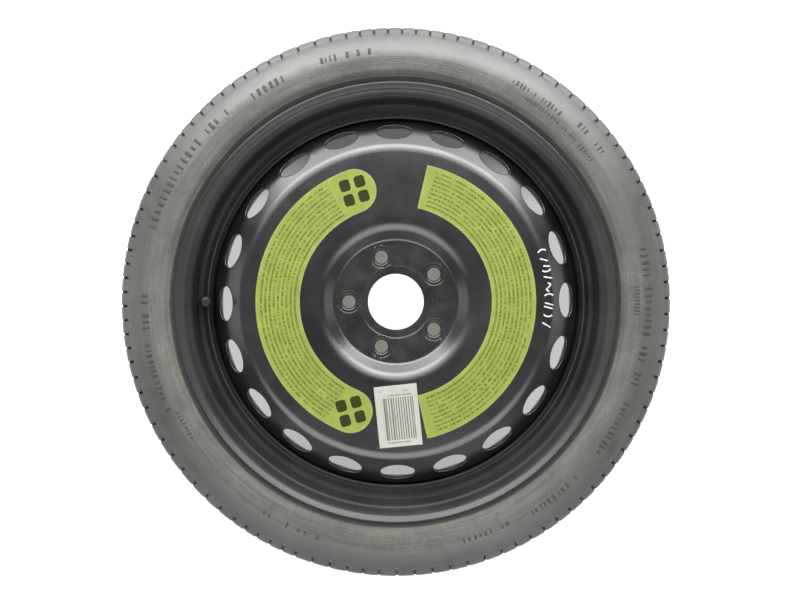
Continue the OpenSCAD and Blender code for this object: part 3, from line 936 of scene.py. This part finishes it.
def film(name, loops, z_top, z_low, mats, levels, node):
    """Closed film from offset loops (each N x 2, same count) that end in a narrow slit."""
    sheet = Sheet()
    ids = [sheet.add(np.column_stack([l, np.full(len(l), z_top)])) for l in loops]
    index = []
    for k, (a, b) in enumerate(zip(ids, ids[1:])):
        n0 = len(sheet.f)
        sheet.band(a, b)
        index += [levels[k]] * (len(sheet.f) - n0)
    last = ids[-1]
    n0 = len(sheet.f)
    m = len(last) // 2
    for i in range(m - 1):
        sheet.f.append([int(last[i]), int(last[i + 1]), int(last[2 * m - 2 - i]), int(last[2 * m - 1 - i])])
    index += [levels[-1]] * (len(sheet.f) - n0)
    low = sheet.add(np.column_stack([loops[0], np.full(len(loops[0]), z_low)]))
    n0 = len(sheet.f)
    sheet.band(ids[0], low)
    for i in range(m - 1):
        sheet.f.append([int(low[i]), int(low[2 * m - 1 - i]), int(low[2 * m - 2 - i]), int(low[i + 1])])
    index += [0] * (len(sheet.f) - n0)
    obj = make(name, sheet.verts(), sheet.f, mats, stands_for=(node,), fix=False, angle=30)
    if len(obj.data.polygons) == len(index):
        obj.data.polygons.foreach_set("material_index", index)
    bm = bmesh.new()
    bm.from_mesh(obj.data)
    bmesh.ops.recalc_face_normals(bm, faces=bm.faces)
    bm.to_mesh(obj.data)
    bm.free()
    return obj


def polar_xy(r, a):
    return np.stack([r * np.cos(a), r * np.sin(a)], 1)


def round_band(d, a0, a1, n=180, m=16):
    """Outline of a curved band with round ends, moved in by d. First half: outer side, second half: inner side back."""
    h = BHALF - d
    a0, a1 = math.radians(a0), math.radians(a1)
    arc = np.linspace(a0, a1, n)
    out = polar_xy(np.full(n, BMID + h), arc)
    inn = polar_xy(np.full(n, BMID - h), arc[::-1])

    def cap(a, sign, t0, t1):
        t = np.linspace(t0, t1, m + 1)[1:-1]
        c = BMID * np.array([math.cos(a), math.sin(a)])
        er = np.array([math.cos(a), math.sin(a)])
        et = np.array([-math.sin(a), math.cos(a)]) * sign
        return np.array([c + h * (er * math.cos(x) + et * math.sin(x)) for x in t])
    e1a = cap(a1, 1, 0, math.pi / 2)
    e1b = cap(a1, 1, math.pi / 2, math.pi)
    e0a = cap(a0, -1, math.pi, math.pi / 2)
    e0b = cap(a0, -1, math.pi / 2, 0)
    mid1 = (BMID * np.array([[math.cos(a1), math.sin(a1)]]) + h * np.array([[-math.sin(a1), math.cos(a1)]]))
    mid0 = (BMID * np.array([[math.cos(a0), math.sin(a0)]]) - h * np.array([[-math.sin(a0), math.cos(a0)]]))
    first = np.vstack([e0b, out, e1a])
    second = np.vstack([e1b, inn, e0a])
    # the end points themselves are shared as single corners
    return np.vstack([mid0, first, mid1]), np.vstack([mid1, second, mid0])


def round_loops(a0, a1, ds):
    loops = []
    for d in ds:
        f, g = round_band(d, a0, a1)
        loops.append(np.vstack([f[1:-1], g[1:-1]]))
    return loops


def straight_loops(a0, a1, ds, n=200):
    loops = []
    for d in ds:
        ro, ri = BAND2 - d, BAND1 + d
        ta = np.linspace(math.radians(a0), math.radians(a1), n)
        so = np.linspace(ta[0] + d / ro, ta[-1] - d / ro, n)
        si = np.linspace(ta[0] + d / ri, ta[-1] - d / ri, n)[::-1]
        loops.append(np.vstack([polar_xy(np.full(n, ro), so), polar_xy(np.full(n, ri), si)]))
    return loops


def ease(t):
    t = np.clip(t, 0, 1)
    return t * t * (3 - 2 * t)


def lime_material(name, base, printed):
    m, nt, b = material(name)
    co, r, a, x, y, z = polar(nt)
    blot = noise(nt, 55, 4, 0.6, co)
    col = ramp(nt, blot, [(0.3, tuple(c * 0.88 for c in base)), (0.5, base), (0.72, tuple(min(1, c * 1.13) for c in base))])
    if printed:
        mm = math_node(nt, "MULTIPLY", math_node(nt, "SUBTRACT", r, (BAND1 + 3.6) * 0.001), 1000 / 4.95)
        row = math_node(nt, "FLOOR", mm)
        fr = math_node(nt, "FRACT", mm)
        inrow = math_node(nt, "MULTIPLY", math_node(nt, "GREATER_THAN", fr, 0.22), math_node(nt, "LESS_THAN", fr, 0.72))
        comb = nt.nodes.new("ShaderNodeCombineXYZ")
        link(nt, math_node(nt, "MULTIPLY", a, 440.0), comb.inputs[0])
        link(nt, math_node(nt, "MULTIPLY", row, 7.31), comb.inputs[1])
        word = noise(nt, 1.0, 1, 0.5, comb.outputs[0])
        comb2 = nt.nodes.new("ShaderNodeCombineXYZ")
        link(nt, math_node(nt, "MULTIPLY", a, 1500.0), comb2.inputs[0])
        link(nt, math_node(nt, "MULTIPLY", row, 3.17), comb2.inputs[1])
        fine = noise(nt, 1.0, 1, 0.5, comb2.outputs[0])
        on = math_node(nt, "MULTIPLY", math_node(nt, "GREATER_THAN", word, 0.40), math_node(nt, "GREATER_THAN", fine, 0.46))
        on = math_node(nt, "MULTIPLY", on, inrow)
        inside = math_node(nt, "MULTIPLY", math_node(nt, "GREATER_THAN", r, (BAND1 + 3.6) * 0.001),
                           math_node(nt, "LESS_THAN", r, (BAND2 - 3.6) * 0.001))
        on = math_node(nt, "MULTIPLY", math_node(nt, "MULTIPLY", on, inside), printed[1])
        # print stops short of the ends
        side = math_node(nt, "SINE", math_node(nt, "MULTIPLY", a, TAU))
        away = math_node(nt, "LESS_THAN", math_node(nt, "ABSOLUTE", side), printed[0])
        on = math_node(nt, "MULTIPLY", on, away)
        col = mix(nt, on, col, (0.040, 0.058, 0.008))
    link(nt, col, b.inputs["Base Color"])
    b.inputs["Roughness"].default_value = 0.42
    b.inputs["Specular IOR Level"].default_value = 0.4
    link(nt, bump(nt, noise(nt, 30, 3, 0.5, co), 0.15, 0.0006), b.inputs["Normal"])
    return m


LIME = (0.254, 0.317, 0.057)
M_LIME_L = lime_material("lime_film_left", LIME, (0.86, 0.74))
M_LIME_R = lime_material("lime_film_right", LIME, (0.955, 0.74))
M_EDGE = lime_material("lime_film_pale", (0.29, 0.33, 0.13), None)
M_DARK = simple_material("dark_print", (0.026, 0.034, 0.005), 0.55, scale=90, bump_d=0.0001)
M_DARK.node_tree.nodes["Principled BSDF"].inputs["Specular IOR Level"].default_value = 0.2


def stickers():
    ds = [0, 0.35, 0.75, 1.75, 2.2, 6, 14, 25.2]
    lv = [0, 0, 1, 0, 0, 0, 0, 0]
    film("sticker_left_film", round_loops(110.5, 247.5, ds), ANN_Z + 0.15, ANN_Z - 0.01, [M_LIME_L, M_EDGE], lv,
         "sticker_left")
    film("sticker_right_film", straight_loops(-77.0, 77.0, ds), ANN_Z + 0.15, ANN_Z - 0.01, [M_LIME_R, M_EDGE], lv,
         "sticker_right")
    # four plain rounded blocks on each round end
    sheet = Sheet()
    for a, turn in ((110.5, 17), (247.5, 196)):
        c = BMID * np.array([math.cos(math.radians(a)), math.sin(math.radians(a))])
        t = math.radians(turn)
        ex = np.array([math.cos(t), math.sin(t)])
        ey = np.array([-math.sin(t), math.cos(t)])
        for dx, dy, hx, hy in ((-9.0, 9.2, 6.2, 6.9), (-9.0, -8.6, 6.2, 6.9), (9.0, 9.2, 6.2, 6.9), (9.0, -8.6, 6.2, 6.9)):
            rc, k = 3.6, 8
            out = []
            for sx, sy, a0 in ((1, 1, 0), (-1, 1, 90), (-1, -1, 180), (1, -1, 270)):
                for i in range(k):
                    u = math.radians(a0 + 90 * i / (k - 1))
                    px = dx + sx * (hx - rc) + rc * math.cos(u)
                    py = dy + sy * (hy - rc) + rc * math.sin(u)
                    out.append(c + ex * px + ey * py)
            out = np.array(out)
            z1, z0 = ANN_Z + 0.19, ANN_Z + 0.1
            mid = c + ex * dx + ey * dy
            rings = [sheet.add(np.column_stack([mid + (out - mid) * f, np.full(len(out), z)]))
                     for f, z in ((1, z0), (1, z1), (0.55, z1))]
            for p, q in zip(rings, rings[1:]):
                sheet.band(p, q)
            sheet.f.append([int(i) for i in rings[-1]])
            sheet.f.append([int(i) for i in rings[0][::-1]])
    make("sticker_blocks", sheet.verts(), sheet.f, M_DARK)


def label_material():
    m, nt, b = material("label_paper")
    uv = nt.nodes.new("ShaderNodeUVMap")
    uv.uv_map = "label"
    sep = nt.nodes.new("ShaderNodeSeparateXYZ")
    link(nt, uv.outputs[0], sep.inputs[0])
    u, v = sep.outputs[0], sep.outputs[1]
    co = object_coords(nt)

    def stripes(scale, off, lim):
        comb = nt.nodes.new("ShaderNodeCombineXYZ")
        link(nt, math_node(nt, "ADD", math_node(nt, "MULTIPLY", u, scale), off), comb.inputs[0])
        return math_node(nt, "GREATER_THAN", noise(nt, 1.0, 0, 0.5, comb.outputs[0]), lim)

    def box(u0, u1, v0, v1):
        g = math_node(nt, "MULTIPLY", math_node(nt, "GREATER_THAN", u, u0), math_node(nt, "LESS_THAN", u, u1))
        h = math_node(nt, "MULTIPLY", math_node(nt, "GREATER_THAN", v, v0), math_node(nt, "LESS_THAN", v, v1))
        return math_node(nt, "MULTIPLY", g, h)
    def comb_bars(count, off, lim):
        f = math_node(nt, "FRACT", math_node(nt, "ADD", math_node(nt, "MULTIPLY", u, count), off))
        return math_node(nt, "GREATER_THAN", f, lim)
    bars = math_node(nt, "MAXIMUM", comb_bars(17.5, 0.3, 0.55), comb_bars(6.2, 0.55, 0.86))
    bars = math_node(nt, "MULTIPLY", bars, box(0.15, 0.88, 0.11, 0.80))
    rows = None
    for v0, v1, u0, u1, sc, off in ((0.825, 0.85, 0.30, 0.86, 60, 1.7), (0.895, 0.915, 0.66, 0.80, 50, 9.1),
                                    (0.055, 0.085, 0.20, 0.74, 60, 4.1), (0.905, 0.92, 0.08, 0.2, 50, 6.1)):
        q = math_node(nt, "MULTIPLY", stripes(sc, off, 0.44), box(u0, u1, v0, v1))
        q = math_node(nt, "MULTIPLY", q, 0.6)
        rows = q if rows is None else math_node(nt, "MAXIMUM", rows, q)
    ink = math_node(nt, "MAXIMUM", math_node(nt, "MULTIPLY", bars, 0.80), rows)
    paper = ramp(nt, noise(nt, 40, 4, 0.6, co), [(0.3, (0.425, 0.425, 0.377)), (0.7, (0.48, 0.48, 0.427))])
    col = mix(nt, ink, paper, (0.07, 0.07, 0.066))
    link(nt, col, b.inputs["Base Color"])
    b.inputs["Roughness"].default_value = 0.5
    return m


def label():
    W, L = 50.4, 72.0
    nu, nv = 36, 52
    t = math.radians(5.9)
    ex = np.array([math.cos(t), math.sin(t)])
    ey = np.array([-math.sin(t), math.cos(t)])
    c = np.array([2.7, -133.6])
    U, V = np.meshgrid(np.linspace(0, 1, nu + 1), np.linspace(0, 1, nv + 1))
    xy = c + (U[..., None] - 0.5) * W * ex + (V[..., None] - 0.5) * L * ey
    r = np.hypot(xy[..., 0], xy[..., 1])
    base = face_z(r)
    lift = 0.03 + 0.17 * ease((U - 0.84) / 0.08) + 1.0 * ease((0.16 - V) / 0.16) * (0.25 + 0.75 * ease((U - 0.3) / 0.7))
    lift += 0.05 * np.sin(U * 9 + V * 4) ** 2
    top = np.dstack([xy, base + lift + 0.13]).reshape(-1, 3)
    low = np.dstack([xy, base + lift]).reshape(-1, 3)
    n = (nu + 1) * (nv + 1)
    faces, uvs = [], []
    idx = lambda i, j, k: k * n + j * (nu + 1) + i
    for j in range(nv):
        for i in range(nu):
            faces.append([idx(i, j, 0), idx(i + 1, j, 0), idx(i + 1, j + 1, 0), idx(i, j + 1, 0)])
            faces.append([idx(i, j, 1), idx(i, j + 1, 1), idx(i + 1, j + 1, 1), idx(i + 1, j, 1)])
    for i in range(nu):
        faces.append([idx(i, 0, 1), idx(i + 1, 0, 1), idx(i + 1, 0, 0), idx(i, 0, 0)])
        faces.append([idx(i, nv, 0), idx(i + 1, nv, 0), idx(i + 1, nv, 1), idx(i, nv, 1)])
    for j in range(nv):
        faces.append([idx(0, j, 0), idx(0, j + 1, 0), idx(0, j + 1, 1), idx(0, j, 1)])
        faces.append([idx(nu, j, 1), idx(nu, j + 1, 1), idx(nu, j + 1, 0), idx(nu, j, 0)])
    obj = make("label_paper_sheet", np.vstack([top, low]), faces, label_material(),
               stands_for=("barcode_label",), fix=False)
    lay = obj.data.uv_layers.new(name="label")
    uu = np.concatenate([np.stack([U, V], -1).reshape(-1, 2)] * 2)
    vi = np.empty(len(obj.data.loops), int)
    obj.data.loops.foreach_get("vertex_index", vi)
    lay.data.foreach_set("uv", uu[vi].ravel())
    bm = bmesh.new()
    bm.from_mesh(obj.data)
    bmesh.ops.recalc_face_normals(bm, faces=bm.faces)
    bm.to_mesh(obj.data)
    bm.free()


def ribbons(name, strokes, place, width, mat):
    """Strokes (lists of 2-d points) as thin closed ribbons; place maps n x 2 to n x 3 and takes a lift."""
    sheet = Sheet()
    for st in strokes:
        p = np.array(smooth(st, 5) if len(st) > 2 else [st[0] + (np.array(st[1]) - st[0]) * k / 5 for k in range(6)], float)
        d = np.gradient(p, axis=0)
        d /= np.maximum(np.linalg.norm(d, axis=1), 1e-6)[:, None]
        nn = np.stack([-d[:, 1], d[:, 0]], 1)
        k = len(p)
        wv = width * (0.9 + 0.18 * np.sin(np.arange(k) * 1.3 + len(st)))
        wv[0] *= 0.6
        wv[-1] *= 0.6
        a, b = p + nn * wv[:, None] / 2, p - nn * wv[:, None] / 2
        ring = np.vstack([a, b[::-1]])
        T = sheet.add(place(ring, 0.09))
        B = sheet.add(place(ring, -0.03))
        sheet.band(T, B)
        for i in range(k - 1):
            j = 2 * k - 1 - i
            sheet.f.append([int(T[i]), int(T[i + 1]), int(T[j - 1]), int(T[j])])
            sheet.f.append([int(B[i]), int(B[j]), int(B[j - 1]), int(B[i + 1])])
    return make(name, sheet.verts(), sheet.f, mat)


def chalk_marks():
    """Plain hand-drawn strokes on the right of the crest: slashes, bows and a wave."""
    def arc(cx, cy, rx, ry, t0, t1, n=9):
        return [[cx + rx * math.cos(math.radians(t0 + (t1 - t0) * i / (n - 1))),
                 cy + ry * math.sin(math.radians(t0 + (t1 - t0) * i / (n - 1)))] for i in range(n)]
    # local frame: u along the row (upwards in the photo), v across it, both about 0 to 1 per mark
    marks = [
        [[[0.05, 0.05], [0.45, 0.95]]],
        [arc(0.75, 0.5, 0.5, 0.5, 125, 235, 9)],
        [[[0.1, 0.1], [0.35, 0.95]], [[0.5, 0.05], [0.75, 0.9]]],
        [arc(0.15, 0.5, 0.5, 0.5, -55, 55, 9)],
        [[[0.0, 0.45], [0.25, 0.72], [0.5, 0.5], [0.75, 0.28], [1.0, 0.55]]],
        [[[0.2, 0.05], [0.5, 0.9]]],
        [arc(0.75, 0.5, 0.5, 0.5, 125, 235, 9), [[0.75, 0.1], [0.95, 0.75]]],
        [[[0.15, 0.2], [0.6, 0.9]]],
        [arc(0.15, 0.5, 0.5, 0.5, -55, 55, 9)],
    ]
    strokes = []
    at = [-30.0, -20.0, -9.0, 2.5, 12.0, 25.0, 33.0, 46.0, 55.0]
    for m, u0 in zip(marks, at):
        for st in m:
            strokes.append([[u0 + q[0] * 10.5, 12.5 * q[1] - 6.0] for q in st])

    def place(p, lift):
        # the row follows the crest: radius grows from its lower to its upper end
        u, v = p[:, 0], p[:, 1]
        a = u / 180.0
        r = 178.9 + 0.031 * (u + 30) - v
        x, y = r * np.cos(a), r * np.sin(a)
        return np.stack([x, y, face_z(r) + lift], 1)
    m, nt, b = material("chalk_white")
    co = object_coords(nt)
    link(nt, ramp(nt, noise(nt, 400, 3, 0.7, co), [(0.32, (0.30, 0.30, 0.30)), (0.5, (0.72, 0.72, 0.72)), (0.7, (0.85, 0.85, 0.85))]), b.inputs["Base Color"])
    b.inputs["Roughness"].default_value = 0.8
    ribbons("chalk_marks", strokes, place, 1.9, m)


# ------------------------------------------------------- relief on the sidewall
def wall_w(r):
    """Distance of the sidewall from the middle plane at radius r."""
    pts = smooth([[crown(38), 38], [crown(42), 42], [CROWN - 5.8, 45.4], [CROWN - 9.2, 48], [CROWN - 13.4, HALF_W - 13.2],
                  [CROWN - 19, HALF_W - 9.9], [CROWN - 27, HALF_W - 6.1], [CROWN - 36, HALF_W - 2.5]], 4)
    pts += smooth([[CROWN - 36, HALF_W - 2.5], [CROWN - 45, HALF_W - 0.3], [CROWN - 52, HALF_W - 0.2],
                   [SEAT_R + 30, HALF_W - 0.8], [SEAT_R + 27, HALF_W - 1.4]], 6)
    pts = np.array(pts)[::-1]
    return np.interp(r, pts[:, 0], pts[:, 1])


def relief():
    rng = random.Random(21)
    sheet = Sheet()

    def block(a, r, da, dr, h=0.55, skew=0.0):
        """Raised block: angle a (deg), radius r, half sizes da (mm along) and dr (mm across)."""
        nu, nv = 2, 4
        us = np.linspace(-da, da, nu + 1)
        vs = np.linspace(-dr, dr, nv + 1)
        rings = []
        for inset, up in ((0, -0.25), (0, h * 0.7), (0.22, h)):
            U, V = np.meshgrid(np.sign(us) * np.maximum(np.abs(us) - inset, 0), np.sign(vs) * np.maximum(np.abs(vs) - inset, 0))
            rr = r + V
            aa = math.radians(a) + (U + skew * V) / r
            rings.append(sheet.add(np.stack([rr * np.cos(aa), rr * np.sin(aa), MID + wall_w(rr) + up], -1).reshape(-1, 3)))
        w = nu + 1
        edge = [i for i in range(w)] + [j * w + nu for j in range(1, nv + 1)] + [nv * w + i for i in range(nu - 1, -1, -1)] + [j * w for j in range(nv - 1, 0, -1)]
        for p, q in zip(rings, rings[1:]):
            sheet.band(p[edge], q[edge])
        for ring, flip in ((rings[0], True), (rings[2], False)):
            for j in range(nv):
                for i in range(nu):
                    f = [int(ring[j * w + i]), int(ring[j * w + i + 1]), int(ring[(j + 1) * w + i + 1]), int(ring[(j + 1) * w + i])]
                    sheet.f.append(f[::-1] if flip else f)

    def row(a0, a1, r, dr, width, gap):
        """Row of plain upright bars of unequal width and spacing."""
        a = a0
        while a < a1:
            w = width * rng.choice([0.7, 1.0, 1.3])
            if rng.random() < 0.14:
                a += math.degrees((gap + width) * 1.2 / r)
                continue
            block(a, r + rng.uniform(-0.3, 0.3), w / 2, dr * rng.choice([1.0, 1.0, 0.72]))
            a += math.degrees((w + gap * rng.uniform(0.8, 1.35)) / r)

    K = 1.1618                                    # mm per photo pixel on the sidewall
    row(-19, 13.5, 252 * K, 4.8, 3.0, 3.9)
    row(36, 45, 255 * K, 3.6, 2.4, 3.0)
    row(49, 62, 249 * K, 3.2, 2.0, 2.7)
    row(36, 58, 240 * K, 2.2, 1.5, 2.4)
    row(96, 108, 251 * K, 3.8, 2.6, 3.2)
    row(117, 126, 249 * K, 4.6, 3.0, 4.0)
    row(130, 163, 254 * K, 5.2, 3.4, 4.3)
    row(177, 187, 250 * K, 4.6, 3.0, 4.0)
    row(190, 206, 251 * K, 3.6, 2.6, 3.4)
    row(207, 215, 243 * K, 2.6, 1.8, 2.6)
    row(238, 252, 247 * K, 3.4, 2.6, 4.4)
    row(286, 297, 247 * K, 3.0, 2.4, 4.0)
    row(303, 317, 250 * K, 3.4, 2.4, 3.4)
    row(322, 337, 251 * K, 4.0, 2.6, 3.6)
    # small patch of fine ridges
    for i in range(9):
        block(3.6 - i * 0.82, 239.6 * K, 0.9, 3.4, 0.45)
    return make("tyre_relief", sheet.verts(), sheet.f, M_RELIEF, angle=50)


M_RELIEF = simple_material("tyre_relief_rubber", (0.050, 0.050, 0.045), 0.6, scale=80, vary=0.3, bump_d=0.0003)

on_grow = {}
tyre()
relief()
rim()
disc()
stickers()
label()
chalk_marks()

# ------------------------------------------------------- stage, light, camera
floor_z = cad_lo[2]
bpy.ops.mesh.primitive_plane_add(size=12, location=(0, 0, floor_z - 0.0003))
floor = bpy.context.object
floor.name = "floor"
fm, fnt, fb = material("floor_pale")
fb.inputs["Roughness"].default_value = 0.9
fb.inputs["Specular IOR Level"].default_value = 0.1
fb.inputs["Emission Color"].default_value = (1, 1, 1, 1)
fb.inputs["Emission Strength"].default_value = 0.75
link(fnt, ramp(fnt, noise(fnt, 3, 3, 0.5, object_coords(fnt)), [(0.3, (0.80, 0.80, 0.79)), (0.7, (0.84, 0.84, 0.83))]), fb.inputs["Base Color"])
floor.data.materials.append(fm)


def area(name, loc, target, size, power, size_y=None, shape="RECTANGLE", spread=180):
    d = bpy.data.lights.new(name, "AREA")
    d.shape = shape
    d.size = size
    if shape in ("RECTANGLE", "ELLIPSE"):
        d.size_y = size_y or size
    d.energy = power
    d.spread = math.radians(spread)
    o = bpy.data.objects.new(name, d)
    scene.collection.objects.link(o)
    o.location = loc
    o.rotation_mode = "QUATERNION"
    o.rotation_quaternion = (Vector(target) - Vector(loc)).to_track_quat("-Z", "Y")
    return o


def radiance(size, size_y, level):
    """Power in watts of a rectangle light with this radiance."""
    return level * math.pi * size * size_y


# key: broad window-like light on the +Y side, with a weaker low part under it
def panel(name, theta, dist, width, half, level, x=0.0, side=0.0):
    """Panel seen from the wheel at theta degrees from the axle axis, half degrees high each way."""
    t, h = math.radians(theta), 2 * dist * math.tan(math.radians(half))
    u = (math.sin(t) * math.cos(math.radians(side)), math.sin(t) * math.sin(math.radians(side)))
    area(name, (x - dist * u[1], dist * u[0], dist * math.cos(t)), (x, 0, 0), width, radiance(width, h, level), h)


panel("key", 55.0, 2.2, 4.2, 11.5, 7.6)
panel("key_high", 33.0, 2.25, 3.6, 10.5, 2.5)
panel("key_low", 74.5, 2.3, 4.2, 8, 0.9)
panel("rear_light", 42.0, 2.3, 3.6, 18, 2.3, side=180)
panel("left_fill", 68.0, 2.2, 1.2, 11, 1.0, side=90)
panel("right_fill", 71.0, 2.2, 1.2, 8, 1.1, side=-90)

# painted light: a glowing disc on the floor under the wheel, seen through its bore and holes; brightest under the bore,
# with painted shade under the bolt holes and towards the top and bottom
def glow():
    k, rs = 96, [0, 36, 40, 52, 80, 150, 195, 236]
    sheet = Sheet()
    a = np.linspace(0, TAU, k, endpoint=False)
    rings = [sheet.add(loop(r, floor_z * 1000 + 0.2, a)) for r in rs[1:]]
    for p, q in zip(rings, rings[1:]):
        sheet.band(p, q)
    sheet.f.append([int(i) for i in rings[0]])
    mesh = bpy.data.meshes.new("floor_glow")
    mesh.from_pydata((sheet.verts() * 0.001).tolist(), [], sheet.f)
    obj = bpy.data.objects.new("floor_glow", mesh)
    scene.collection.objects.link(obj)
    m, nt, b = material("floor_glow")
    co, r, an, x, y, z = polar(nt)
    prof = nt.nodes.new("ShaderNodeValToRGB")
    link(nt, math_node(nt, "MULTIPLY", r, 4.0), prof.inputs["Fac"])
    els = prof.color_ramp.elements
    # painted shade: the glow is dim in the ring seen through the bolt holes and bright under the bore
    stops = [(0.0, 1.25), (0.152, 1.25), (0.185, 0.25), (0.34, 0.22), (0.6, 0.28), (0.80, 0.56), (1.0, 0.56)]
    while len(els) < len(stops):
        els.new(0.5)
    for e, (p, v) in zip(els, stops):
        e.position = p
        e.color = (v, v, v * (0.86 if 0.17 < p < 0.4 else 0.985), 1)
    # painted shade: the glow is a little darker towards the bottom and much darker towards the top
    shade = ramp(nt, math_node(nt, "ADD", math_node(nt, "MULTIPLY", y, 2.2), 0.5), [(0.06, 0.80), (0.22, 1.0), (0.78, 1.0), (0.93, 0.24), (1.0, 0.22)])
    link(nt, mix(nt, 1.0, prof.outputs[0], shade, "MULTIPLY"), b.inputs["Emission Color"])
    b.inputs["Emission Strength"].default_value = 1.0
    b.inputs["Base Color"].default_value = (0.02, 0.02, 0.02, 1)
    b.inputs["Roughness"].default_value = 1.0
    mesh.materials.append(m)


glow()

world = bpy.data.worlds.new("studio")
scene.world = world
world.use_nodes = True
bg = world.node_tree.nodes["Background"]
bg.inputs["Color"].default_value = (1, 1, 1, 1)
bg.inputs["Strength"].default_value = 0.13

cam_data = bpy.data.cameras.new("camera")
cam_data.lens = 32.74
cam_data.sensor_width = 36
cam_data.clip_start = 0.05
cam = bpy.data.objects.new("camera", cam_data)
scene.collection.objects.link(cam)
cam.location = (0.0049, 0.0021, 0.870)
cam.rotation_euler = (0, 0, 0)
scene.camera = cam
scene.view_settings.view_transform = "Standard"
scene.view_settings.look = "None"
